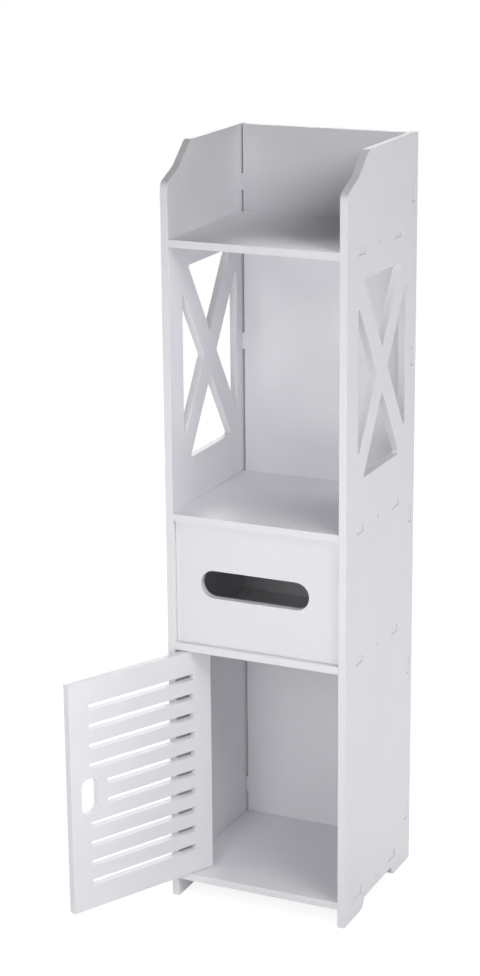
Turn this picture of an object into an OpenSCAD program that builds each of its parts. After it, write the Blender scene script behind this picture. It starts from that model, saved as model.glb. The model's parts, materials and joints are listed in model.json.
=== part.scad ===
// Slim bathroom shelf unit: a tray on top, an open bay between two fretted
// side boards, a drawer with a dispensing slot, and a louvred pivot door.
// Origin: floor level, in the middle of the case's footprint, door not counted.
// The front faces -Y, +X is to the right seen from the front, and +Z is up.

/* [Case] */
// Overall width across the two side boards
case_w = 198; // [180:1:240]
// Depth of the side boards from front edge to rear edge
case_d = 188; // [180:1:240]
// Thickness of the case boards, the drawer front and the door
board_t = 8; // [7:0.5:10]
// Height of the bottom shelf's underside above the floor
foot_clear = 20; // [16:1:50]
// Clear height of the bay behind the door
door_bay_h = 252; // [220:1:320]
// Clear height of the drawer's bay
drawer_bay_h = 131; // [120:1:180]
// Clear height of the open bay
open_bay_h = 274; // [266:1:300]
// Height of the side boards and the back above the top shelf
tray_h = 91; // [60:1:150]
// Distance from the side boards' rear edges to the back panel
back_inset = 7; // [2:0.5:20]
// Gap between the back panel and each side board
back_side_gap = 2; // [0.5:0.5:5]

/* [Side outline] */
// Front edge to the place where the top edge starts to drop
notch_reach = 55; // [45:1:90]
// Front edge to the step in the slope
step_reach = 28; // [15:1:40]
// Top edge down to the step in the slope
step_drop = 23; // [10:1:30]
// Top edge down to the front corner
front_drop = 35.5; // [32:0.5:50]
// Radius where the top edge turns into the slope
crest_r = 8; // [2:0.5:15]
// Radius in the hollow of the step
step_r = 4; // [1:0.5:10]
// Radius of the front corner
front_r = 9; // [2:0.5:15]
// Radius of the rear top corner
rear_r = 3; // [1:0.5:10]
// Length of the arch under each side board, along the floor
arch_w = 100; // [60:1:120]
// Radius of the toes at the arch's ends, which is also its height
toe_r = 11; // [6:0.5:15]

/* [Fretwork] */
// Width of the cross window, front to rear
cross_w = 128; // [110:1:140]
// Height of the cross window
cross_h = 200; // [170:1:204]
// Width of the cross's arms
arm_w = 24; // [14:1:30]
// Corner radius of the cross's openings
cross_r = 2; // [1:0.5:4]
// Height of the cross's middle above the middle shelf
cross_rise = 148; // [135:1:155]

/* [Board joints] */
// Length of a tenon or tab along the board's edge
tenon_l = 18; // [12:1:30]
// Distance between the two tenons at a shelf's end, centre to centre
tenon_spread = 97; // [70:1:120]
// How far the shelves' tenons stop short of the side board's outer face
tenon_short = 1; // [0.5:0.5:3]
// How far the back panel's tabs stop short of the side board's outer face
tab_short = 0.5; // [0.5:0.5:3]
// Slack at each end of a slot
slot_slack = 0.5; // [0.5:0.25:2]
// Clearance on each face of a tenon in its slot
slot_fit = 0.1; // [0.05:0.05:0.2]
// Distance between the back panel's tabs, centre to centre
tab_pitch = 170; // [120:1:200]
// Top edge to the middle of the highest tab
tab_drop = 60; // [40:1:90]
// Smallest height of a tab's middle above the floor
tab_floor = 45; // [35:1:60]

/* [Screws] */
// Shank diameter of the shelf screws
screw_d = 3; // [2.5:0.5:4.5]
// Head diameter of the shelf screws
screw_head_d = 5.5; // [5.5:0.5:9]
// Overall length of a shelf screw
screw_l = 25; // [18:1:40]
// Depth of the screw head's rim
screw_rim = 0.4; // [0.2:0.1:0.6]
// Length of the screw's point
screw_tip = 3; // [2:0.5:5]
// Screw head below the board's face
screw_sink = 0.3; // [0.1:0.1:1]
// Width of the drive's cross arms
drive_w = 0.8; // [0.6:0.1:1.2]
// Span of the drive's cross arms
drive_span = 3; // [2.5:0.1:3.4]
// Depth of the drive's cross
drive_depth = 1.2; // [1:0.1:1.4]
// Radial clearance round a screw
screw_fit = 0.1; // [0.05:0.05:0.2]

/* [Drawer] */
// Drawer front behind the side boards' front edges
drawer_recess = 5.5; // [0:0.5:10]
// Gap between the drawer and each side board
drawer_side_gap = 0.4; // [0.4:0.1:4]
// Gap above and below the drawer front
drawer_edge_gap = 0.3; // [0.3:0.1:3]
// Running gap between the drawer's sides and the shelf
drawer_run_gap = 0.3; // [0.1:0.1:0.4]
// Free depth behind the drawer
drawer_rear_gap = 9.5; // [3:0.5:30]
// Thickness of the drawer's sides, back and bottom
drawer_t = 6; // [5:0.5:8]
// Height of the drawer's sides and back
drawer_side_h = 110; // [80:1:115]
// Drawer bottom's underside above its sides' lower edges
drawer_bottom_rise = 3; // [2:0.5:8]
// Length of the dispensing slot
mouth_w = 120; // [90:1:140]
// Height of the dispensing slot, with half-round ends
mouth_h = 29.5; // [20:0.5:45]
// Middle of the dispensing slot above the drawer front's lower edge
mouth_rise = 66.5; // [50:0.5:80]
// Middle of the dispensing slot to the left of the drawer's middle
mouth_shift = 3; // [0:0.5:5]
// Length of the drawer's own tabs
drawer_tab_l = 20; // [12:1:26]
// Distance between the two tabs on a drawer bottom's side edge
drawer_tab_spread = 80; // [50:1:90]
// Distance between the two tabs on a drawer back's side edge
back_tab_spread = 50; // [40:1:56]
// Diameter of the dowels behind the drawer front
dowel_d = 3; // [2:0.5:3.5]
// Overall length of a dowel
dowel_l = 16; // [12:1:24]
// Part of a dowel that sits in the drawer front
dowel_in_front = 5; // [3:0.5:5.5]
// Distance between the two dowels at a drawer side
dowel_spread = 60; // [40:1:70]
// Free depth left at each end of a dowel
dowel_end_gap = 0.3; // [0.1:0.1:0.5]
// Radial clearance round a dowel
dowel_fit = 0.05; // [0.02:0.01:0.1]

/* [Door] */
// Opening angle of the door as it stands
door_angle = 116.5; // [0:0.5:128]
// Door behind the side boards' front edges, when shut
door_recess = 10; // [2:0.5:10]
// Gap between the shut door and each side board
door_side_gap = 1; // [1:0.5:3]
// Gap above and below the door
door_edge_gap = 1; // [0.8:0.1:2]
// Hinge edge of the door to its pivot
pivot_in = 16; // [12:0.5:18]
// Height of a louvre slot
louvre_h = 6.5; // [5:0.5:12]
// Distance between louvre slots, centre to centre
louvre_pitch = 21.4; // [16:0.1:28]
// Smallest border above and below the louvre slots
louvre_border = 24; // [20:1:35]
// Hinge edge of the door to the louvre slots
louvre_start = 22; // [18:0.5:30]
// Free edge of the door to the long louvre slots
louvre_end = 24; // [20:0.5:35]
// Corner radius of the louvre slots
louvre_r = 1; // [0.5:0.5:2]
// Width of the finger hole
grip_w = 20; // [18:1:26]
// Height of the finger hole
grip_h = 39; // [30:1:60]
// Corner radius of the finger hole
grip_r = 9; // [3:0.5:9]
// Free edge of the door to the middle of the finger hole
grip_in = 23; // [20:0.5:30]
// Wood left between the finger hole and the short louvre slots
grip_land = 12.5; // [6:0.5:20]
// Diameter of the pivot pins
pin_d = 4; // [3:0.5:4.5]
// Length of a pivot pin inside its shelf
pin_in_shelf = 5; // [3:0.5:6]
// Length of a pivot pin inside the door
pin_in_door = 8; // [6:0.5:15]
// Radial clearance round a pivot pin
pin_fit = 0.05; // [0.03:0.01:0.08]
// Free depth left at each end of a pivot pin
pin_end_gap = 0.3; // [0.1:0.1:0.8]
// Outer diameter of the washers at the pivot
washer_d = 10; // [8:0.5:14]
// Thickness of the washers at the pivot
washer_t = 0.6; // [0.4:0.1:0.6]
// Radial clearance between a washer and its pin
washer_fit = 0.1; // [0.05:0.05:0.3]

/* [Hidden] */

$fn = 48;
arc_steps = 8;
// Length by which a cut runs past a face
over = 1;

board_colour = "whitesmoke";
drawer_colour = "gainsboro";
metal_colour = "silver";
washer_colour = "lightgray";

// Inner face of a side board, front and rear edges
bay_x = case_w / 2 - board_t;
front_y = -case_d / 2;
rear_y = case_d / 2;

// Back panel's front face, where the shelves end
back_y = rear_y - back_inset - board_t;
shelf_mid_y = (front_y + back_y) / 2;
tenon_x = case_w / 2 - tenon_short;
tab_x = case_w / 2 - tab_short;

// Undersides of the shelves
bottom_z = foot_clear;
lower_z = bottom_z + board_t + door_bay_h;
middle_z = lower_z + board_t + drawer_bay_h;
top_z = middle_z + board_t + open_bay_h;
shelf_zs = [bottom_z, lower_z, middle_z, top_z];
case_h = top_z + board_t + tray_h;
tenon_ys = [shelf_mid_y - tenon_spread / 2, shelf_mid_y + tenon_spread / 2];

// Heights of the back panel's tabs, from the highest down
tab_count = 1 + floor((case_h - tab_drop - tab_floor) / tab_pitch);
tab_zs = [for (i = [0 : tab_count - 1]) case_h - tab_drop - i * tab_pitch];
cross_z = middle_z + board_t + cross_rise;

// Drawer
drawer_x = bay_x - drawer_side_gap;
drawer_in_x = drawer_x - drawer_t;
drawer_front_y = front_y + drawer_recess;
drawer_box_y = drawer_front_y + board_t;
drawer_end_y = back_y - drawer_rear_gap;
drawer_in_y = drawer_end_y - drawer_t;
drawer_front_z = lower_z + board_t + drawer_edge_gap;
drawer_front_h = drawer_bay_h - 2 * drawer_edge_gap;
drawer_z = lower_z + board_t + drawer_run_gap;
drawer_floor_z = drawer_z + drawer_bottom_rise;
drawer_mid_y = (drawer_box_y + drawer_in_y) / 2;
// Middle of the drawer back's height above the bottom board
drawer_back_z = drawer_floor_z + drawer_t;
drawer_back_mid_z = (drawer_back_z + drawer_z + drawer_side_h) / 2;
dowel_x = drawer_x - drawer_t / 2;
dowel_mid_z = drawer_z + drawer_side_h / 2;

// Door, measured from its pivot when it is shut
door_w = 2 * (bay_x - door_side_gap);
door_x0 = -pivot_in;
door_x1 = door_w - pivot_in;
door_z0 = bottom_z + board_t + door_edge_gap;
door_z1 = lower_z - door_edge_gap;
door_h = door_z1 - door_z0;
door_mid_z = (door_z0 + door_z1) / 2;
pivot_x = -bay_x + door_side_gap + pivot_in;
pivot_y = front_y + door_recess + board_t / 2;
grip_x = door_x1 - grip_in;
louvre_count = 1 + floor((door_h - 2 * louvre_border - louvre_h) / louvre_pitch);

// A box between two corners
module box(lo, hi) {
    translate(lo)
        cube(hi - lo);
}

function unit(v) = v / norm(v);

// Points of the arc that rounds the corner at v, between the edges to a and b
function corner_arc(a, v, b, r) =
    let (
        ua = unit(a - v),
        ub = unit(b - v),
        half = acos(ua * ub) / 2,
        centre = v + unit(ua + ub) * r / sin(half),
        start = v + ua * r / tan(half) - centre,
        end = v + ub * r / tan(half) - centre,
        from = atan2(start.y, start.x),
        sweep = (cross(start, end) > 0 ? 1 : -1) * (180 - 2 * half)
    )
    [for (i = [0 : arc_steps])
        let (angle = from + sweep * i / arc_steps)
        centre + r * [cos(angle), sin(angle)]];

// An outline whose corners have the given radii, with 0 for a sharp one
function rounded(points, radii) =
    let (n = len(points))
    [for (i = [0 : n - 1])
        each radii[i] > 0
            ? corner_arc(points[(i + n - 1) % n], points[i], points[(i + 1) % n], radii[i])
            : [points[i]]];

// A rectangle with rounded corners, centred
module rounded_rect(w, h, r) {
    corners = [[-w, -h], [w, -h], [w, h], [-w, h]] / 2;
    polygon(rounded(corners, [r, r, r, r]));
}

// A flat outline drawn in Y and Z, extruded along X from x0
module slab_x(x0, thickness) {
    translate([x0, 0, 0])
        rotate([90, 0, 90])
            linear_extrude(thickness)
                children();
}

// A flat outline drawn in X and Z, extruded along Y from y0
module slab_y(y0, thickness) {
    translate([0, y0 + thickness, 0])
        rotate([90, 0, 0])
            linear_extrude(thickness)
                children();
}

// One screw along -Z, with the top of its head at the origin
module screw_form(grow) {
    head_r = screw_head_d / 2 + grow;
    shank_r = screw_d / 2 + grow;
    cone_end = -screw_rim - (head_r - shank_r);
    rotate_extrude()
        polygon([
            [0, grow > 0 ? screw_sink + over : 0],
            [head_r, grow > 0 ? screw_sink + over : 0],
            [head_r, -screw_rim],
            [shank_r, cone_end],
            [shank_r, -screw_l + screw_tip],
            [0, -screw_l - grow]
        ]);
}

// The screw or its hole at the right-hand end of the shelf with underside z
module place_screw(z) {
    translate([case_w / 2 - screw_sink, shelf_mid_y, z + board_t / 2])
        rotate([0, 90, 0])
            children();
}

module screw() {
    difference() {
        screw_form(0);
        for (turn = [0, 90])
            rotate([0, 0, turn])
                translate([-drive_w / 2, -drive_span / 2, -drive_depth])
                    cube([drive_w, drive_span, drive_depth + over]);
    }
}

// Right-hand row of shelf screws
module screw_row() {
    color(metal_colour)
        for (z = shelf_zs)
            place_screw(z)
                screw();
}

// The arch between the toes of a side board
module foot_arch() {
    difference() {
        translate([-arch_w / 2, -over])
            square([arch_w, toe_r + over]);
        for (s = [-1, 1])
            translate([s * arch_w / 2, toe_r])
                circle(r = toe_r);
    }
}

// The four openings that leave a cross in the side board
module cross_openings() {
    half_w = cross_w / 2;
    half_h = cross_h / 2;
    diagonal = norm([half_w, half_h]);
    tip_w = arm_w / 2 * diagonal / half_h;
    tip_h = arm_w / 2 * diagonal / half_w;
    radii = [cross_r, cross_r, cross_r];
    for (s = [-1, 1]) {
        polygon(rounded([[0, s * tip_h],
                         [half_w - tip_w, s * half_h],
                         [tip_w - half_w, s * half_h]], radii));
        polygon(rounded([[s * tip_w, 0],
                         [s * half_w, half_h - tip_h],
                         [s * half_w, tip_h - half_h]], radii));
    }
}

module side_outline() {
    points = [
        [front_y, 0],
        [rear_y, 0],
        [rear_y, case_h],
        [front_y + notch_reach, case_h],
        [front_y + step_reach, case_h - step_drop],
        [front_y, case_h - front_drop]
    ];
    difference() {
        polygon(rounded(points, [0, 0, rear_r, crest_r, step_r, front_r]));
        foot_arch();
        translate([0, cross_z])
            cross_openings();
    }
}

// The right-hand side board
module side_board() {
    slot_l = tenon_l + 2 * slot_slack;
    slot_t = board_t + 2 * slot_fit;
    slot_x = board_t + 2 * over;
    color(board_colour)
        difference() {
            slab_x(bay_x, board_t)
                side_outline();
            for (z = shelf_zs) {
                for (y = tenon_ys)
                    translate([bay_x - over, y - slot_l / 2, z - slot_fit])
                        cube([slot_x, slot_l, slot_t]);
                place_screw(z)
                    screw_form(screw_fit);
            }
            for (z = tab_zs)
                translate([bay_x - over, back_y - slot_fit, z - slot_l / 2])
                    cube([slot_x, slot_t, slot_l]);
        }
}

module back_board() {
    body_x = bay_x - back_side_gap;
    color(board_colour) {
        box([-body_x, back_y, bottom_z], [body_x, back_y + board_t, case_h]);
        for (z = tab_zs)
            box([-tab_x, back_y, z - tenon_l / 2],
                [tab_x, back_y + board_t, z + tenon_l / 2]);
    }
}

// A shelf with two tenons and a screw hole at each end
module shelf(z) {
    color(board_colour)
        difference() {
            union() {
                box([-bay_x, front_y, z], [bay_x, back_y, z + board_t]);
                for (y = tenon_ys)
                    box([-tenon_x, y - tenon_l / 2, z],
                        [tenon_x, y + tenon_l / 2, z + board_t]);
            }
            for (side = [0, 1])
                mirror([side, 0, 0])
                    place_screw(z)
                        screw_form(screw_fit);
            children();
        }
}

// A bore for a pivot pin between two heights, in the case's frame
module pin_bore(z0, z1) {
    translate([pivot_x, pivot_y, z0])
        cylinder(d = pin_d + 2 * pin_fit, h = z1 - z0);
}

module pivot_pin(z0) {
    color(metal_colour)
        translate([pivot_x, pivot_y, z0])
            cylinder(d = pin_d, h = pin_in_shelf + door_edge_gap + pin_in_door);
}

module washer(z0) {
    color(washer_colour)
        translate([pivot_x, pivot_y, z0])
            difference() {
                cylinder(d = washer_d, h = washer_t);
                translate([0, 0, -over])
                    cylinder(d = pin_d + 2 * washer_fit, h = washer_t + 2 * over);
            }
}

// Dispensing slot, centred
module mouth() {
    straight = mouth_w - mouth_h;
    square([straight, mouth_h], center = true);
    for (s = [-1, 1])
        translate([s * straight / 2, 0])
            circle(d = mouth_h);
}

// The four dowels between the drawer front and its sides, grown at the wall and ends
module dowels(wall, end) {
    for (sx = [-1, 1], sz = [-1, 1])
        translate([sx * dowel_x,
                   drawer_box_y - dowel_in_front - end,
                   dowel_mid_z + sz * dowel_spread / 2])
            rotate([-90, 0, 0])
                cylinder(d = dowel_d + 2 * wall, h = dowel_l + 2 * end);
}

module drawer_front_board() {
    color(board_colour)
        difference() {
            slab_y(drawer_front_y, board_t)
                difference() {
                    translate([-drawer_x, drawer_front_z])
                        square([2 * drawer_x, drawer_front_h]);
                    translate([-mouth_shift, drawer_front_z + mouth_rise])
                        mouth();
                }
            dowels(dowel_fit, dowel_end_gap);
        }
}

// Tabs of the drawer bottom, grown by the slack along the edge and the fit across it
module bottom_tabs(slack, fit, x) {
    for (s = [-1, 1])
        translate([-x, drawer_mid_y + s * drawer_tab_spread / 2 - drawer_tab_l / 2 - slack,
                   drawer_floor_z - fit])
            cube([2 * x, drawer_tab_l + 2 * slack, drawer_t + 2 * fit]);
}

// Tabs of the drawer back, grown the same way
module back_tabs(slack, fit, x) {
    for (s = [-1, 1])
        translate([-x, drawer_in_y - fit,
                   drawer_back_mid_z + s * back_tab_spread / 2 - drawer_tab_l / 2 - slack])
            cube([2 * x, drawer_t + 2 * fit, drawer_tab_l + 2 * slack]);
}

// The drawer's right-hand side
module drawer_side() {
    color(drawer_colour)
        difference() {
            box([drawer_in_x, drawer_box_y, drawer_z],
                [drawer_x, drawer_end_y, drawer_z + drawer_side_h]);
            bottom_tabs(slot_slack, slot_fit, drawer_x + over);
            back_tabs(slot_slack, slot_fit, drawer_x + over);
            dowels(dowel_fit, dowel_end_gap);
        }
}

// A row of louvre slots and the finger hole, measured from the pivot
module door_openings() {
    span = (louvre_count - 1) * louvre_pitch;
    long_end = door_x1 - louvre_end;
    short_end = grip_x - grip_w / 2 - grip_land;
    start = door_x0 + louvre_start;
    for (i = [0 : louvre_count - 1]) {
        rise = i * louvre_pitch - span / 2;
        beside_grip = abs(rise) < (grip_h + louvre_h) / 2;
        end = beside_grip ? short_end : long_end;
        translate([(start + end) / 2, door_mid_z + rise])
            rounded_rect(end - start, louvre_h, louvre_r);
    }
    translate([grip_x, door_mid_z])
        rounded_rect(grip_w, grip_h, grip_r);
}

module left_side() {
    mirror([1, 0, 0])
        side_board();
}

module right_side() {
    side_board();
}

module back_panel() {
    back_board();
}

module top_shelf() {
    shelf(top_z);
}

module middle_shelf() {
    shelf(middle_z);
}

module lower_shelf() {
    shelf(lower_z)
        pin_bore(lower_z - over, lower_z + pin_in_shelf + pin_end_gap);
}

module bottom_shelf() {
    shelf(bottom_z)
        pin_bore(bottom_z + board_t - pin_in_shelf - pin_end_gap, bottom_z + board_t + over);
}

module shelf_screws_left() {
    mirror([1, 0, 0])
        screw_row();
}

module shelf_screws_right() {
    screw_row();
}

module drawer_front() {
    drawer_front_board();
}

module drawer_side_left() {
    mirror([1, 0, 0])
        drawer_side();
}

module drawer_side_right() {
    drawer_side();
}

module drawer_back() {
    color(drawer_colour) {
        box([-drawer_in_x, drawer_in_y, drawer_back_z],
            [drawer_in_x, drawer_end_y, drawer_z + drawer_side_h]);
        back_tabs(0, 0, drawer_x);
    }
}

module drawer_bottom() {
    color(drawer_colour) {
        box([-drawer_in_x, drawer_box_y, drawer_floor_z],
            [drawer_in_x, drawer_end_y, drawer_floor_z + drawer_t]);
        bottom_tabs(0, 0, drawer_x);
    }
}

module drawer_dowels() {
    color("burlywood")
        dowels(0, 0);
}

module door_panel() {
    color(board_colour)
        translate([pivot_x, pivot_y, 0])
            rotate([0, 0, -door_angle])
                difference() {
                    slab_y(-board_t / 2, board_t)
                        difference() {
                            translate([door_x0, door_z0])
                                square([door_w, door_h]);
                            door_openings();
                        }
                    translate([-pivot_x, -pivot_y, 0]) {
                        pin_bore(door_z0 - over, door_z0 + pin_in_door + pin_end_gap);
                        pin_bore(door_z1 - pin_in_door - pin_end_gap, door_z1 + over);
                    }
                }
}

module door_pin_top() {
    pivot_pin(door_z1 - pin_in_door);
}

module door_pin_bottom() {
    pivot_pin(bottom_z + board_t - pin_in_shelf);
}

module door_washer_top() {
    washer(lower_z - washer_t);
}

module door_washer_bottom() {
    washer(bottom_z + board_t);
}

left_side();
right_side();
back_panel();
top_shelf();
middle_shelf();
lower_shelf();
bottom_shelf();
shelf_screws_left();
shelf_screws_right();
drawer_front();
drawer_side_left();
drawer_side_right();
drawer_back();
drawer_bottom();
drawer_dowels();
door_panel();
door_pin_top();
door_pin_bottom();
door_washer_top();
door_washer_bottom();
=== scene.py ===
"""Looks of a slim white bathroom shelf unit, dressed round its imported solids."""
import json
import math

import bmesh
import bpy
from mathutils import Matrix, Vector


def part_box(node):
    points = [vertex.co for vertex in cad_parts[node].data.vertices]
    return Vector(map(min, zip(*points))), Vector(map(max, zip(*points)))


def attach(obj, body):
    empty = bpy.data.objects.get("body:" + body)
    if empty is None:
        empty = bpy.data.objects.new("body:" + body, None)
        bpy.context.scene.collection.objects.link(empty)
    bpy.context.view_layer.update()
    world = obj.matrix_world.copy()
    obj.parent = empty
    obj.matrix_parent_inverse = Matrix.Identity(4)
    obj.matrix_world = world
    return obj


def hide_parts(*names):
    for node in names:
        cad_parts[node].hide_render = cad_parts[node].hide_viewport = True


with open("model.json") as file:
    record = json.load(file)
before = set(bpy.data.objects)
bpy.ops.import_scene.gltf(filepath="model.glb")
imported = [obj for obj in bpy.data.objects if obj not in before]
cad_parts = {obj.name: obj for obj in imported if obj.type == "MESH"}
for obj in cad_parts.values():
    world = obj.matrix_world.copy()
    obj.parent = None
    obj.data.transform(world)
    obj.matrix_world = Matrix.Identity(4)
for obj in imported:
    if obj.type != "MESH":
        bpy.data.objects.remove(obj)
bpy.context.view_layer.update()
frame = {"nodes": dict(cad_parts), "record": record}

MM = 0.001
NODES = frame["nodes"]
HINGE = next(j for j in frame["record"]["behaviour"]["joints"] if j["name"] == "door_hinge")

# The photograph's frame in pixels, and the camera that fits its straight edges
IMAGE_H = 976
FOCAL_PX = 2354.0
SENSOR_MM = 36.0
CAMERA_PLACE = Vector((0.93125, -2.13542, 1.13967))
CAMERA_YAW = math.radians(24.88)
CAMERA_PITCH = math.radians(16.73)
CAMERA_ROLL = math.radians(-0.51)
CAMERA_NEAR = 0.05
CAMERA_FAR = 60

# Boards: their colours, and how far and in how many steps their edges are rounded
SKIN_COLOUR = (0.80, 0.793, 0.829)
# The drawer's sides, back and bottom are the same white board painted darker: painted shade
# inside the drawer
DRAWER_PAINTED_SHADE_COLOUR = (0.685, 0.68, 0.705)
CUT_COLOUR = (0.805, 0.80, 0.83)
EASED_EDGE = 0.5 * MM
THIN_EASED_EDGE = 0.3 * MM
EASED_STEPS = 3
EASED_FROM_ANGLE = math.radians(35)

# Clean meshes: corners this near are one, and faces turned this little lie in one plane
SAME_CORNER = 0.002 * MM
SAME_PLANE = math.radians(0.5)

# How squarely a face looks along the thickness, 1 being fully, to count as a board's
# or the door's broad face and not as an edge
BOARD_FACE_SHARE = 0.95
DOOR_FACE_SHARE = 0.5

# Refractive index of the plastics
IOR = 1.45

# The door's openings and bores, as in the solids
DOOR_OPEN = math.radians(-HINGE["range_deg"][0])
LOUVRE_COUNT = 10
LOUVRE_H = 6.5 * MM
LOUVRE_PITCH = 21.4 * MM
LOUVRE_START = 22 * MM
LOUVRE_END = 24 * MM
LOUVRE_CORNER = 1 * MM
LOUVRE_CORNER_STEPS = 4
GRIP_W = 20 * MM
GRIP_H = 39 * MM
GRIP_CORNER = 9 * MM
GRIP_CORNER_STEPS = 8
GRIP_IN = 23 * MM
GRIP_LAND = 12.5 * MM
PIVOT_IN = 16 * MM
BORE_D = 4.1 * MM
BORE_DEPTH = 8.3 * MM
BORE_SIDES = 24

# The shelf screws, as in the solids, with the side board in which each row sits
SCREW_ROWS = {"shelf_screws_left": -1, "shelf_screws_right": 1}
SCREWED_SHELVES = ("bottom_shelf", "lower_shelf", "middle_shelf", "top_shelf")
SCREW_HEAD_R = 2.75 * MM
SCREW_SHANK_R = 1.5 * MM
SCREW_RIM = 0.4 * MM
SCREW_TIP = 3 * MM
SCREW_SIDES = 40
SCREW_WELD = 0.0001 * MM
DRIVE_W = 0.8 * MM
DRIVE_SPAN = 3 * MM
DRIVE_DEPTH = 1.2 * MM
SCREW_SEED = 7

# The wings that cut the drive's cross: half their diagonal at the bottom and at the top
# as shares of the drive's width, and their height as a share of its depth
WING_SHARE_BOTTOM = 0.35
WING_SHARE_TOP = 0.75
WING_SHARE_HIGH = 1.2

# Light: each soft lamp's bearing from the front, distance, height, diameter, power and
# the height on the unit's middle at which it aims
LAMPS = {
    "left_front": (-60, 1.6, 0.4, 0.9, 4.5, 0.45),
    "front_low": (10, 1.0, 0.25, 0.5, 1.9, 0.35),
    "front_middle": (0, 0.8, 0.6, 0.4, 1.7, 0.05),
    "right_front_high": (45, 1.0, 1.2, 0.5, 2.4, 0.35),
    "right_front_low": (65, 0.8, 0.35, 0.4, 0.5, 0.05),
    "right_high": (65, 1.6, 1.6, 0.9, 10.6, 0.45),
    "right_low": (110, 1.0, 0.25, 0.5, 2.2, 0.35),
    "left": (-110, 1.6, 0.5, 0.9, 6.6, 0.45),
    "rear_left_high": (-150, 1.6, 1.4, 0.9, 20.0, 0.45),
}

# Floor: its colour for the light, and for the eye a fainter one under a glow that grows
# to plain white between a near and a far distance from the unit
FLOOR_COLOUR = (0.85, 0.85, 0.85)
FLOOR_SEEN = (0.3, 0.3, 0.3)
FLOOR_LIFT = 0.84
FLOOR_LIFT_NEAR = 1.2
FLOOR_LIFT_FAR = 2.0
FLOOR_REACH = 30.0


def link(piece):
    """Puts an object into the scene."""
    bpy.context.scene.collection.objects.link(piece)
    return piece


def make_camera():
    """The photograph's camera."""
    data = bpy.data.cameras.new("photo_camera")
    data.sensor_fit = "VERTICAL"
    data.sensor_height = SENSOR_MM
    data.lens = SENSOR_MM * FOCAL_PX / IMAGE_H
    data.clip_start = CAMERA_NEAR
    data.clip_end = CAMERA_FAR
    camera = link(bpy.data.objects.new("photo_camera", data))
    turn = (
        Matrix.Rotation(CAMERA_YAW, 4, "Z")
        @ Matrix.Rotation(math.pi / 2 - CAMERA_PITCH, 4, "X")
        @ Matrix.Rotation(CAMERA_ROLL, 4, "Z")
    )
    camera.matrix_world = Matrix.Translation(CAMERA_PLACE) @ turn
    bpy.context.scene.camera = camera


class Shader:
    """A material's node tree, with short calls that add and join nodes."""

    def __init__(self, name):
        self.material = bpy.data.materials.new(name)
        self.material.use_nodes = True
        self.tree = self.material.node_tree
        self.tree.nodes.clear()
        self.output = self.add("ShaderNodeOutputMaterial")

    def add(self, kind, **settings):
        node = self.tree.nodes.new(kind)
        for key, value in settings.items():
            setattr(node, key, value)
        return node

    def join(self, source, target):
        self.tree.links.new(source, target)

    def principled(self, colour, roughness, metallic=0.0):
        node = self.add("ShaderNodeBsdfPrincipled")
        node.inputs["Base Color"].default_value = (*colour, 1)
        node.inputs["Roughness"].default_value = roughness
        node.inputs["Metallic"].default_value = metallic
        node.inputs["IOR"].default_value = IOR
        self.join(node.outputs["BSDF"], self.output.inputs["Surface"])
        return node

    def place(self, scale=(1, 1, 1), turn=0.0):
        """Object coordinates, turned about Z first and then stretched."""
        coordinates = self.add("ShaderNodeTexCoord")
        turned = self.add("ShaderNodeMapping")
        turned.inputs["Rotation"].default_value = (0, 0, turn)
        stretched = self.add("ShaderNodeMapping")
        stretched.inputs["Scale"].default_value = scale
        self.join(coordinates.outputs["Object"], turned.inputs["Vector"])
        self.join(turned.outputs["Vector"], stretched.inputs["Vector"])
        return stretched.outputs["Vector"]

    def noise(self, place, per_metre, detail=3.0, rough=0.5):
        node = self.add("ShaderNodeTexNoise")
        node.inputs["Scale"].default_value = per_metre
        node.inputs["Detail"].default_value = detail
        node.inputs["Roughness"].default_value = rough
        self.join(place, node.inputs["Vector"])
        return node.outputs["Fac"]

    def cells(self, place, per_metre):
        """Distance to the nearest of many scattered points."""
        node = self.add("ShaderNodeTexVoronoi")
        node.inputs["Scale"].default_value = per_metre
        self.join(place, node.inputs["Vector"])
        return node.outputs["Distance"]

    def remap(self, value, source, target):
        """Maps one range, a pair of numbers, to another, and stops at its ends."""
        node = self.add("ShaderNodeMapRange")
        node.inputs["From Min"].default_value = source[0]
        node.inputs["From Max"].default_value = source[1]
        node.inputs["To Min"].default_value = target[0]
        node.inputs["To Max"].default_value = target[1]
        self.join(value, node.inputs["Value"])
        return node.outputs["Result"]

    def mix(self, share, first, second):
        """A colour between two, each a triple or the output of a mix."""
        node = self.add("ShaderNodeMix", data_type="RGBA")
        sockets = [s for s in node.inputs if s.type == "RGBA"]
        for socket, colour in zip(sockets, (first, second)):
            if isinstance(colour, tuple):
                socket.default_value = (*colour, 1)
            else:
                self.join(colour, socket)
        self.join(share, node.inputs["Factor"])
        return [s for s in node.outputs if s.type == "RGBA"][0]

    def bump(self, height, distance, strength, under=None):
        node = self.add("ShaderNodeBump")
        node.inputs["Distance"].default_value = distance
        node.inputs["Strength"].default_value = strength
        self.join(height, node.inputs["Height"])
        if under is not None:
            self.join(under, node.inputs["Normal"])
        return node.outputs["Normal"]


def shade_of(colour, share):
    return tuple(c * share for c in colour)


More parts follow.
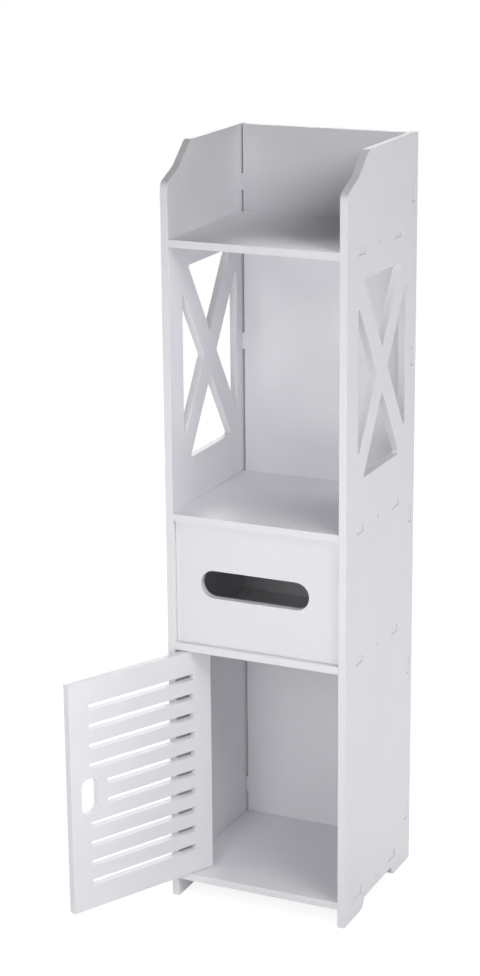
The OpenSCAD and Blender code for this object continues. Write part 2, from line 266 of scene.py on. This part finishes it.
def board_skin(name, colour):
    """The board's satin skin: barely mottled, with an orange peel and faint scuffs."""
    s = Shader(name)
    body = s.principled(colour, roughness=0.42)
    place = s.place()
    mottle = s.remap(s.noise(place, per_metre=14, detail=4), (0.3, 0.7), (0, 1))
    specks = s.remap(s.cells(place, per_metre=260), (0, 0.09), (1, 0))
    base = s.mix(mottle, colour, shade_of(colour, 0.975))
    s.join(s.mix(specks, base, shade_of(colour, 0.9)), body.inputs["Base Color"])
    scuffs = s.noise(place, per_metre=60, detail=5, rough=0.6)
    s.join(s.remap(scuffs, (0.35, 0.75), (0.38, 0.52)), body.inputs["Roughness"])
    peel = s.noise(place, per_metre=420, detail=2)
    grain = s.noise(place, per_metre=2600, detail=2)
    coarse = s.bump(peel, distance=0.05 * MM, strength=0.5)
    s.join(s.bump(grain, 0.02 * MM, 0.5, coarse), body.inputs["Normal"])
    return s.material


def board_cut(name, colour, across, turn=0.0):
    """A sawn edge of foamed board: fine pores, and marks that run across it."""
    s = Shader(name)
    body = s.principled(colour, roughness=0.6)
    pores = s.noise(s.place(), per_metre=1900, detail=3, rough=0.6)
    stretch = [1.0, 1.0, 1.0]
    stretch["xyz".index(across)] = 0.03
    marks = s.noise(s.place(tuple(stretch), turn), per_metre=900, detail=2)
    share = s.remap(pores, (0.45, 0.75), (0, 1))
    s.join(s.mix(share, colour, shade_of(colour, 0.93)), body.inputs["Base Color"])
    pitted = s.bump(pores, distance=0.08 * MM, strength=0.6)
    s.join(s.bump(marks, 0.06 * MM, 0.5, pitted), body.inputs["Normal"])
    return s.material


def zinc_plate():
    """Zinc-plated steel of the screws: cloudy, with fine scratches."""
    s = Shader("zinc_plate")
    body = s.principled((0.6, 0.6, 0.61), roughness=0.4, metallic=1.0)
    patches = s.noise(s.place(), per_metre=900, detail=4, rough=0.6)
    cloud = s.remap(patches, (0.3, 0.7), (0, 1))
    s.join(s.mix(cloud, (0.67, 0.665, 0.68), (0.53, 0.53, 0.55)), body.inputs["Base Color"])
    s.join(s.remap(cloud, (0, 1), (0.34, 0.5)), body.inputs["Roughness"])
    scratch = s.noise(s.place((1, 1, 0.1)), per_metre=6000, detail=2)
    s.join(s.bump(scratch, distance=0.01 * MM, strength=0.4), body.inputs["Normal"])
    return s.material


def turned_steel():
    """Plain steel of the pivot pins, with rings left by the lathe."""
    s = Shader("turned_steel")
    body = s.principled((0.66, 0.66, 0.65), roughness=0.3, metallic=1.0)
    rings = s.noise(s.place((0.02, 0.02, 1)), per_metre=9000, detail=2)
    s.join(s.mix(rings, (0.72, 0.72, 0.71), (0.58, 0.58, 0.58)), body.inputs["Base Color"])
    s.join(s.remap(rings, (0.3, 0.7), (0.24, 0.4)), body.inputs["Roughness"])
    s.join(s.bump(rings, distance=0.01 * MM, strength=0.5), body.inputs["Normal"])
    return s.material


def milky_nylon():
    """Nylon of the thin pivot washers, with a moulded grain."""
    s = Shader("milky_nylon")
    body = s.principled((0.78, 0.78, 0.75), roughness=0.4)
    place = s.place()
    haze = s.remap(s.noise(place, per_metre=700, detail=3), (0.3, 0.7), (0, 1))
    s.join(s.mix(haze, (0.79, 0.79, 0.76), (0.72, 0.72, 0.69)), body.inputs["Base Color"])
    s.join(s.remap(haze, (0, 1), (0.34, 0.48)), body.inputs["Roughness"])
    grain = s.noise(place, per_metre=5000, detail=2)
    s.join(s.bump(grain, distance=0.01 * MM, strength=0.5), body.inputs["Normal"])
    return s.material


def beech():
    """Beech of the dowels: long grain front to rear, with short dark flecks."""
    s = Shader("beech")
    body = s.principled((0.62, 0.44, 0.27), roughness=0.55)
    grain = s.noise(s.place((1, 0.06, 1)), per_metre=1400, detail=4, rough=0.6)
    cells = s.cells(s.place((1, 0.2, 1)), per_metre=1500)
    flecks = s.remap(cells, (0, 0.16), (1, 0))
    share = s.remap(grain, (0.3, 0.7), (0, 1))
    wood = s.mix(share, (0.68, 0.5, 0.32), (0.54, 0.36, 0.21))
    s.join(s.mix(flecks, wood, (0.4, 0.25, 0.14)), body.inputs["Base Color"])
    s.join(s.remap(grain, (0.3, 0.7), (0.48, 0.62)), body.inputs["Roughness"])
    s.join(s.bump(grain, distance=0.05 * MM, strength=0.6), body.inputs["Normal"])
    return s.material


class Number:
    """A number inside a form's node tree, which can be reckoned with."""

    def __init__(self, form, socket):
        self.form = form
        self.socket = socket

    def reckon(self, operation, first, second=None):
        node = self.form.add("ShaderNodeMath", operation=operation)
        self.form.feed(node.inputs[0], first)
        if second is not None:
            self.form.feed(node.inputs[1], second)
        return Number(self.form, node.outputs[0])

    def __add__(self, other):
        return self.reckon("ADD", self, other)

    def __sub__(self, other):
        return self.reckon("SUBTRACT", self, other)

    def __rsub__(self, other):
        return self.reckon("SUBTRACT", other, self)

    def __mul__(self, other):
        return self.reckon("MULTIPLY", self, other)

    def size(self):
        return self.reckon("ABSOLUTE", self)


class Form:
    """A geometry node tree with named sizes, whose result becomes a plain mesh."""

    def __init__(self, name):
        self.name = name
        self.tree = bpy.data.node_groups.new(name, "GeometryNodeTree")
        self.tree.is_modifier = True
        self.values = {}
        for side in ("INPUT", "OUTPUT"):
            self.tree.interface.new_socket(
                "Geometry", in_out=side, socket_type="NodeSocketGeometry"
            )
        self.start = self.add("NodeGroupInput")
        self.end = self.add("NodeGroupOutput")

    def add(self, kind, **settings):
        node = self.tree.nodes.new(kind)
        for key, value in settings.items():
            setattr(node, key, value)
        return node

    def feed(self, socket, value):
        """Joins an output to a socket, or sets the socket to a plain value."""
        if isinstance(value, Number):
            self.tree.links.new(value.socket, socket)
        elif isinstance(value, bpy.types.NodeSocket):
            self.tree.links.new(value, socket)
        else:
            socket.default_value = value

    def named(self, name, value, kind="NodeSocketFloat"):
        """A named input of the tree, and the value that the modifier gives it."""
        item = self.tree.interface.new_socket(name, in_out="INPUT", socket_type=kind)
        self.values[item.identifier] = value
        socket = next(s for s in self.start.outputs if s.identifier == item.identifier)
        return Number(self, socket)

    def point(self, x=0.0, y=0.0, z=0.0):
        node = self.add("ShaderNodeCombineXYZ")
        for socket, value in zip(node.inputs, (x, y, z)):
            self.feed(socket, value)
        return node.outputs[0]

    def move(self, geometry, place=None, turn=None):
        node = self.add("GeometryNodeTransform")
        self.feed(node.inputs["Geometry"], geometry)
        if place is not None:
            self.feed(node.inputs["Translation"], place)
        if turn is not None:
            self.feed(node.inputs["Rotation"], turn)
        return node.outputs[0]

    def gather(self, *parts):
        node = self.add("GeometryNodeJoinGeometry")
        for part in parts:
            self.tree.links.new(part, node.inputs[0])
        return node.outputs[0]

    def weld(self, geometry, distance=0.001 * MM):
        node = self.add("GeometryNodeMergeByDistance")
        self.feed(node.inputs["Geometry"], geometry)
        node.inputs["Distance"].default_value = distance
        return node.outputs[0]

    def cut_away(self, geometry, *tools):
        node = self.add("GeometryNodeMeshBoolean", operation="DIFFERENCE", solver="EXACT")
        self.feed(node.inputs["Mesh 1"], geometry)
        for tool in tools:
            self.tree.links.new(tool, node.inputs["Mesh 2"])
        return node.outputs["Mesh"]

    def set_out(self, what, points, where=None, turn=None):
        """One copy of a shape on each point, as real geometry."""
        copies = self.add("GeometryNodeInstanceOnPoints")
        self.feed(copies.inputs["Points"], points)
        self.feed(copies.inputs["Instance"], what)
        if where is not None:
            self.feed(copies.inputs["Selection"], where)
        if turn is not None:
            self.feed(copies.inputs["Rotation"], turn)
        return self.real(copies.outputs[0])

    def real(self, geometry):
        node = self.add("GeometryNodeRealizeInstances")
        self.feed(node.inputs["Geometry"], geometry)
        return node.outputs[0]

    def turned_from(self, direction, share):
        """Picks the faces that look less than that share along a direction or against it."""
        normal = self.add("GeometryNodeInputNormal").outputs[0]
        along = self.add("ShaderNodeVectorMath", operation="DOT_PRODUCT")
        self.feed(along.inputs[0], normal)
        self.feed(along.inputs[1], direction)
        pick = self.add("FunctionNodeCompare", operation="LESS_THAN")
        self.feed(pick.inputs["A"], Number(self, along.outputs["Value"]).size())
        pick.inputs["B"].default_value = share
        return pick.outputs[0]

    def finish_with(self, geometry, material, where=None):
        node = self.add("GeometryNodeSetMaterial")
        self.feed(node.inputs["Geometry"], geometry)
        if where is not None:
            self.feed(node.inputs["Selection"], where)
        node.inputs["Material"].default_value = material
        return node.outputs[0]

    def make(self, geometry, points=()):
        """The tree's result on an object of its own, as a plain mesh."""
        self.feed(self.end.inputs[0], geometry)
        plan = bpy.data.meshes.new(self.name + "_plan")
        plan.from_pydata(list(points), [], [])
        holder = link(bpy.data.objects.new(self.name + "_plan", plan))
        form = holder.modifiers.new("form", "NODES")
        form.node_group = self.tree
        for key, value in self.values.items():
            form[key] = value
        graph = bpy.context.evaluated_depsgraph_get()
        mesh = bpy.data.meshes.new_from_object(holder.evaluated_get(graph), depsgraph=graph)
        mesh.name = self.name
        while mesh.materials[0] is None:
            mesh.materials.pop(index=0)
        holder.modifiers.remove(form)
        bpy.data.objects.remove(holder)
        return link(bpy.data.objects.new(self.name, mesh))


def rounded_window(form, width, height, corner, steps):
    """The outline of a rectangle with rounded corners, centred."""
    outline = form.add("GeometryNodeCurvePrimitiveQuadrilateral")
    form.feed(outline.inputs["Width"], width)
    form.feed(outline.inputs["Height"], height)
    fillet = form.add("GeometryNodeFilletCurve", mode="POLY")
    form.feed(fillet.inputs["Curve"], outline.outputs[0])
    form.feed(fillet.inputs["Radius"], corner)
    fillet.inputs["Count"].default_value = steps
    return fillet.outputs[0]


def door_size():
    """Width, height and thickness of the door, from its box and its opening angle."""
    low, high = (Vector(corner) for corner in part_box("door_panel"))
    reach = high - low
    across = abs(math.cos(DOOR_OPEN))
    along = abs(math.sin(DOOR_OPEN))
    spread = across ** 2 - along ** 2
    width = (reach.x * across - reach.y * along) / spread
    thickness = (reach.y * across - reach.x * along) / spread
    return width, reach.z, thickness, low.z


def fill_and_thicken(form, outlines, thickness):
    """A flat board from its outline and those of its openings."""
    face = form.add("GeometryNodeFillCurve", mode="NGONS")
    form.feed(face.inputs["Curve"], form.gather(*outlines))
    pull = form.add("GeometryNodeExtrudeMesh", mode="FACES")
    pull.inputs["Individual"].default_value = False
    form.feed(pull.inputs["Mesh"], face.outputs[0])
    form.feed(pull.inputs["Offset"], form.point(0, 0, 1))
    form.feed(pull.inputs["Offset Scale"], thickness)
    flipped = form.add("GeometryNodeFlipFaces")
    form.feed(flipped.inputs["Mesh"], face.outputs[0])
    return form.weld(form.gather(pull.outputs["Mesh"], flipped.outputs[0]))


def door_outlines(form, width, height):
    """The door's outline, and those of its finger hole and louvre slots."""
    count = form.named("Slot count", LOUVRE_COUNT, "NodeSocketInt")
    slot_h = form.named("Slot height", LOUVRE_H)
    pitch = form.named("Slot pitch", LOUVRE_PITCH)
    start = form.named("Slot start", LOUVRE_START)
    border = form.named("Slot end border", LOUVRE_END)
    slot_corner = form.named("Slot corner", LOUVRE_CORNER)
    grip_w = form.named("Finger hole width", GRIP_W)
    grip_h = form.named("Finger hole height", GRIP_H)
    grip_corner = form.named("Finger hole corner", GRIP_CORNER)
    grip_in = form.named("Finger hole inset", GRIP_IN)
    land = form.named("Land beside the hole", GRIP_LAND)

    index = form.add("GeometryNodeInputIndex").outputs[0]
    rise = (Number(form, index) - (count - 1) * 0.5) * pitch
    grip_x = width - grip_in
    long_end = width - border
    short_end = grip_x - grip_w * 0.5 - land
    beside = form.add("FunctionNodeCompare", operation="LESS_THAN")
    form.feed(beside.inputs["A"], rise.size())
    form.feed(beside.inputs["B"], (grip_h + slot_h) * 0.5)
    above = form.add("FunctionNodeBooleanMath", operation="NOT")
    form.feed(above.inputs[0], beside.outputs[0])

    outline = form.add("GeometryNodeCurvePrimitiveQuadrilateral")
    form.feed(outline.inputs["Width"], width)
    form.feed(outline.inputs["Height"], height)
    outlines = [form.move(outline.outputs[0], form.point(width * 0.5))]
    hole = rounded_window(form, grip_w, grip_h, grip_corner, GRIP_CORNER_STEPS)
    outlines.append(form.move(hole, form.point(grip_x)))
    for end, where in ((long_end, above.outputs[0]), (short_end, beside.outputs[0])):
        slot = rounded_window(form, end - start, slot_h, slot_corner, LOUVRE_CORNER_STEPS)
        row = form.add("GeometryNodePoints")
        form.feed(row.inputs["Count"], count)
        form.feed(row.inputs["Position"], form.point((start + end) * 0.5, rise))
        outlines.append(form.set_out(slot, row.outputs[0], where))
    return outlines


def bore_for_pins(form, board, height, thickness, pivot_in):
    """Sinks a bore for a pivot pin into the door's upper and lower edge."""
    bore_d = form.named("Bore diameter", BORE_D)
    bore_depth = form.named("Bore depth", BORE_DEPTH)
    bore = form.add("GeometryNodeMeshCylinder")
    bore.inputs["Vertices"].default_value = BORE_SIDES
    form.feed(bore.inputs["Radius"], bore_d * 0.5)
    form.feed(bore.inputs["Depth"], bore_depth * 2)
    tools = []
    for side in (-0.5, 0.5):
        place = form.point(pivot_in, height * side, thickness * 0.5)
        tools.append(form.move(bore.outputs[0], place, form.point(math.pi / 2)))
    return form.cut_away(board, *tools)


def make_door(skin, cut):
    """The door: a board with a column of louvre slots and a finger hole."""
    door_w, door_h, door_t, door_z = door_size()
    form = Form("louvred_door")
    width = form.named("Width", door_w)
    height = form.named("Height", door_h)
    thickness = form.named("Thickness", door_t)
    pivot_in = form.named("Pivot inset", PIVOT_IN)
    board = fill_and_thicken(form, door_outlines(form, width, height), thickness)
    board = bore_for_pins(form, board, height, thickness, pivot_in)

    upright = form.move(board, form.point(0 - pivot_in, 0, thickness * -0.5))
    upright = form.move(upright, None, form.point(math.pi / 2))
    hung_at = form.point(HINGE["pos_m"][0], HINGE["pos_m"][1], door_z + door_h / 2)
    hung = form.real(form.move(upright, hung_at, form.point(0, 0, -DOOR_OPEN)))
    facing = form.point(math.sin(DOOR_OPEN), math.cos(DOOR_OPEN))
    edges = form.turned_from(facing, DOOR_FACE_SHARE)
    return form.make(form.finish_with(form.finish_with(hung, skin), cut, edges))


def screw_body(form, length):
    """A countersunk screw that points down, with its head's top at zero."""
    head_r = form.named("Head radius", SCREW_HEAD_R)
    shank_r = form.named("Shank radius", SCREW_SHANK_R)
    rim = form.named("Rim depth", SCREW_RIM)
    tip = form.named("Point length", SCREW_TIP)

    def tube(bottom_r, top_r, depth, top_z):
        """An open stretch of the screw, from a height down."""
        cone = form.add("GeometryNodeMeshCone", fill_type="NONE")
        cone.inputs["Vertices"].default_value = SCREW_SIDES
        form.feed(cone.inputs["Radius Bottom"], bottom_r)
        form.feed(cone.inputs["Radius Top"], top_r)
        form.feed(cone.inputs["Depth"], depth)
        return form.move(cone.outputs[0], form.point(0, 0, top_z - depth))

    sink = head_r - shank_r
    cap = form.add("GeometryNodeMeshCircle", fill_type="NGON")
    cap.inputs["Vertices"].default_value = SCREW_SIDES
    form.feed(cap.inputs["Radius"], head_r)
    shank = length - rim - sink - tip
    stretches = (
        cap.outputs[0],
        tube(head_r, head_r, rim, rim * 0),
        tube(shank_r, head_r, sink, rim * -1),
        tube(shank_r, shank_r, shank, (rim + sink) * -1),
        tube(0.0, shank_r, tip, (rim + sink + shank) * -1),
    )
    return form.weld(form.gather(*stretches), SCREW_WELD)


def drive_wings(form):
    """The two crossed wings that cut the drive into a screw's head."""
    drive_w = form.named("Drive width", DRIVE_W)
    drive_span = form.named("Drive span", DRIVE_SPAN)
    drive_depth = form.named("Drive depth", DRIVE_DEPTH)
    wing = form.add("GeometryNodeMeshCone")
    wing.inputs["Vertices"].default_value = 4
    form.feed(wing.inputs["Radius Bottom"], drive_w * WING_SHARE_BOTTOM)
    form.feed(wing.inputs["Radius Top"], drive_w * WING_SHARE_TOP)
    form.feed(wing.inputs["Depth"], drive_depth * WING_SHARE_HIGH)
    down = form.point(0, 0, drive_depth * -1)
    squared = form.move(wing.outputs[0], down, form.point(0, 0, math.pi / 4))
    wings = []
    for turn in (0, math.pi / 2):
        stretched = form.add("GeometryNodeTransform")
        form.feed(stretched.inputs["Geometry"], squared)
        form.feed(stretched.inputs["Rotation"], form.point(0, 0, turn))
        form.feed(stretched.inputs["Scale"], form.point(drive_span * (1 / DRIVE_W), 1, 1))
        wings.append(stretched.outputs[0])
    return wings


def outward_spin(form, side):
    """The turn of each screw: its head outward, and its cross at a random angle."""
    seed = form.named("Seed", SCREW_SEED, "NodeSocketInt")
    spin = form.add("FunctionNodeRandomValue", data_type="FLOAT")
    largest = spin.inputs[3]
    largest.default_value = math.pi / 2
    form.feed(spin.inputs["Seed"], seed)
    outward = form.add("FunctionNodeEulerToRotation")
    form.feed(outward.inputs[0], form.point(0, side * math.pi / 2, 0))
    about = form.add("FunctionNodeAxisAngleToRotation")
    about.inputs["Axis"].default_value = (0, 0, 1)
    form.feed(about.inputs["Angle"], spin.outputs[1])
    both = form.add("FunctionNodeRotateRotation", rotation_space="LOCAL")
    form.feed(both.inputs[0], outward.outputs[0])
    form.feed(both.inputs[1], about.outputs[0])
    return both.outputs[0]


def make_screws(node, side, zinc):
    """A row of cross-head screws, one at each shelf's end, set into a side board."""
    low, high = (Vector(corner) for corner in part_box(node))
    head_x = high.x if side > 0 else low.x
    levels = [(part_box(s)[0][2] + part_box(s)[1][2]) / 2 for s in SCREWED_SHELVES]
    places = [(head_x, (low.y + high.y) / 2, z) for z in levels]

    form = Form(node + "_row")
    length = form.named("Length", high.x - low.x)
    screw = form.cut_away(screw_body(form, length), *drive_wings(form))
    row = form.set_out(screw, form.start.outputs[0], None, outward_spin(form, side))
    return form.make(form.finish_with(row, zinc), places)


def main_direction(mesh):
    """The direction in which most of the mesh's area faces."""
    areas = {}
    for face in mesh.polygons:
        key = tuple(round(abs(c), 2) for c in face.normal)
        total, normal = areas.get(key, (0.0, face.normal.copy()))
        areas[key] = (total + face.area, normal)
    return max(areas.values(), key=lambda pair: pair[0])[1]


def clean_faces(mesh):
    """Merges doubled corners, and joins the triangles of each flat face."""
    bm = bmesh.new()
    bm.from_mesh(mesh)
    bmesh.ops.remove_doubles(bm, verts=bm.verts, dist=SAME_CORNER)
    bmesh.ops.dissolve_limit(bm, angle_limit=SAME_PLANE, verts=bm.verts, edges=bm.edges)
    bm.to_mesh(mesh)
    bm.free()
    mesh.shade_smooth()


def ease_edges(piece, width):
    """Rounds a piece's edges and keeps its flat faces flat."""
    bevel = piece.modifiers.new("eased_edges", "BEVEL")
    bevel.width = width
    bevel.segments = EASED_STEPS
    bevel.limit_method = "ANGLE"
    bevel.angle_limit = EASED_FROM_ANGLE
    bevel.use_clamp_overlap = False
    normals = piece.modifiers.new("flat_faces", "WEIGHTED_NORMAL")
    normals.keep_sharp = False
    normals.weight = 100


def dress_board(node, skin, cut, width):
    """A copy of a board's solid with eased edges, its skin and its sawn edges."""
    mesh = NODES[node].data.copy()
    mesh.name = node + "_board"
    clean_faces(mesh)
    mesh.materials.clear()
    mesh.materials.append(skin)
    mesh.materials.append(cut)
    facing = main_direction(mesh)
    for face in mesh.polygons:
        along = abs(face.normal.dot(facing))
        face.material_index = 0 if along > BOARD_FACE_SHARE else 1
    piece = link(bpy.data.objects.new(node + "_board", mesh))
    ease_edges(piece, width)
    return piece


def settle(piece, body, slot, *nodes):
    """Hangs a piece on its body, in place of the solids that it stands for."""
    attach(piece, body)
    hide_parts(*nodes)


def make_boards(skin, shaded_drawer_skin, cuts):
    """Dresses every board of the case and the drawer."""
    boards = (
        ("left_side", "case", "case_board", skin, cuts["x"]),
        ("right_side", "case", "case_board", skin, cuts["x"]),
        ("back_panel", "case", "case_board", skin, cuts["y"]),
        ("top_shelf", "case", "case_board", skin, cuts["z"]),
        ("middle_shelf", "case", "case_board", skin, cuts["z"]),
        ("lower_shelf", "case", "case_board", skin, cuts["z"]),
        ("bottom_shelf", "case", "case_board", skin, cuts["z"]),
        ("drawer_front", "drawer", "case_board", skin, cuts["y"]),
        # The drawer's sides, back and bottom take the darker copy of the skin, painted shade for
        # the drawer's inside
        ("drawer_side_left", "drawer", "drawer_board", shaded_drawer_skin, cuts["x"]),
        ("drawer_side_right", "drawer", "drawer_board", shaded_drawer_skin, cuts["x"]),
        ("drawer_back", "drawer", "drawer_board", shaded_drawer_skin, cuts["y"]),
        ("drawer_bottom", "drawer", "drawer_board", shaded_drawer_skin, cuts["z"]),
    )
    for node, body, slot, face, cut in boards:
        width = THIN_EASED_EDGE if body == "drawer" else EASED_EDGE
        settle(dress_board(node, face, cut, width), body, slot, node)


def refinish(material, *nodes):
    """Gives solids that stay as they are a finish of their own."""
    for node in nodes:
        for slot in NODES[node].material_slots:
            slot.material = material


def seen_directly(tree):
    """Is 1 for what the camera sees, also in a mirror or through glass, and 0 for other light."""
    path = tree.nodes.new("ShaderNodeLightPath")
    share = path.outputs["Is Camera Ray"]
    for ray in ("Is Glossy Ray", "Is Transmission Ray"):
        either = tree.nodes.new("ShaderNodeMath")
        either.operation = "MAXIMUM"
        tree.links.new(share, either.inputs[0])
        tree.links.new(path.outputs[ray], either.inputs[1])
        share = either.outputs[0]
    return share


def make_floor():
    """A plain pale floor that keeps the unit's shadow."""
    s = Shader("pale_floor")
    matt = s.add("ShaderNodeBsdfDiffuse")
    matt.inputs["Color"].default_value = (*FLOOR_COLOUR, 1)
    faint = s.add("ShaderNodeBsdfDiffuse")
    faint.inputs["Color"].default_value = (*FLOOR_SEEN, 1)
    glow = s.add("ShaderNodeEmission")
    middle = s.add("ShaderNodeVectorMath", operation="LENGTH")
    s.join(s.place(), middle.inputs[0])
    distances = (FLOOR_LIFT_NEAR, FLOOR_LIFT_FAR)
    lift = s.remap(middle.outputs["Value"], distances, (FLOOR_LIFT, 1))
    s.join(lift, glow.inputs["Strength"])
    lifted = s.add("ShaderNodeAddShader")
    choice = s.add("ShaderNodeMixShader")
    s.join(faint.outputs[0], lifted.inputs[0])
    s.join(glow.outputs[0], lifted.inputs[1])
    s.join(seen_directly(s.tree), choice.inputs["Fac"])
    s.join(matt.outputs[0], choice.inputs[1])
    s.join(lifted.outputs[0], choice.inputs[2])
    s.join(choice.outputs[0], s.output.inputs["Surface"])
    mesh = bpy.data.meshes.new("floor")
    signs = ((-1, -1), (1, -1), (1, 1), (-1, 1))
    corners = [(FLOOR_REACH * x, FLOOR_REACH * y, 0) for x, y in signs]
    mesh.from_pydata(corners, [], [(0, 1, 2, 3)])
    mesh.materials.append(s.material)
    link(bpy.data.objects.new("floor", mesh))


def make_lamp(name, bearing, distance, height, diameter, power, aim_height):
    """A round soft lamp that stands round the unit and faces its middle."""
    data = bpy.data.lights.new(name, "AREA")
    data.shape = "DISK"
    data.size = diameter
    data.energy = power
    turn = math.radians(bearing)
    spot = Vector((distance * math.sin(turn), -distance * math.cos(turn), height))
    facing = (Vector((0, 0, aim_height)) - spot).to_track_quat("-Z", "Y")
    lamp = link(bpy.data.objects.new(name, data))
    lamp.visible_camera = False
    lamp.matrix_world = Matrix.Translation(spot) @ facing.to_matrix().to_4x4()


def make_backdrop():
    """A white backdrop that is seen but lights nothing."""
    world = bpy.data.worlds.new("backdrop")
    world.use_nodes = True
    bpy.context.scene.world = world
    tree = world.node_tree
    tree.nodes.clear()
    output = tree.nodes.new("ShaderNodeOutputWorld")
    white = tree.nodes.new("ShaderNodeBackground")
    white.inputs["Color"].default_value = (1, 1, 1, 1)
    tree.links.new(seen_directly(tree), white.inputs["Strength"])
    tree.links.new(white.outputs[0], output.inputs["Surface"])


make_camera()

board_white = board_skin("board_skin", SKIN_COLOUR)
# A darker copy of the board skin, painted shade for the inside of the drawer
drawer_painted_shade = board_skin("drawer_board_painted_shade", DRAWER_PAINTED_SHADE_COLOUR)
sawn = {axis: board_cut("board_cut_" + axis, CUT_COLOUR, axis) for axis in "xyz"}
make_boards(board_white, drawer_painted_shade, sawn)

door = make_door(board_white, board_cut("door_cut", CUT_COLOUR, "y", DOOR_OPEN))
clean_faces(door.data)
ease_edges(door, EASED_EDGE)
settle(door, "door", "case_board", "door_panel")

zinc = zinc_plate()
for row_node, row_side in SCREW_ROWS.items():
    settle(make_screws(row_node, row_side, zinc), "case", "screw_metal", row_node)
refinish(turned_steel(), "door_pin_top", "door_pin_bottom")
refinish(milky_nylon(), "door_washer_top", "door_washer_bottom")
refinish(beech(), "drawer_dowels")

make_floor()
make_backdrop()
for lamp_name, values in LAMPS.items():
    make_lamp(lamp_name, *values)
bpy.context.scene.view_settings.view_transform = "Standard"
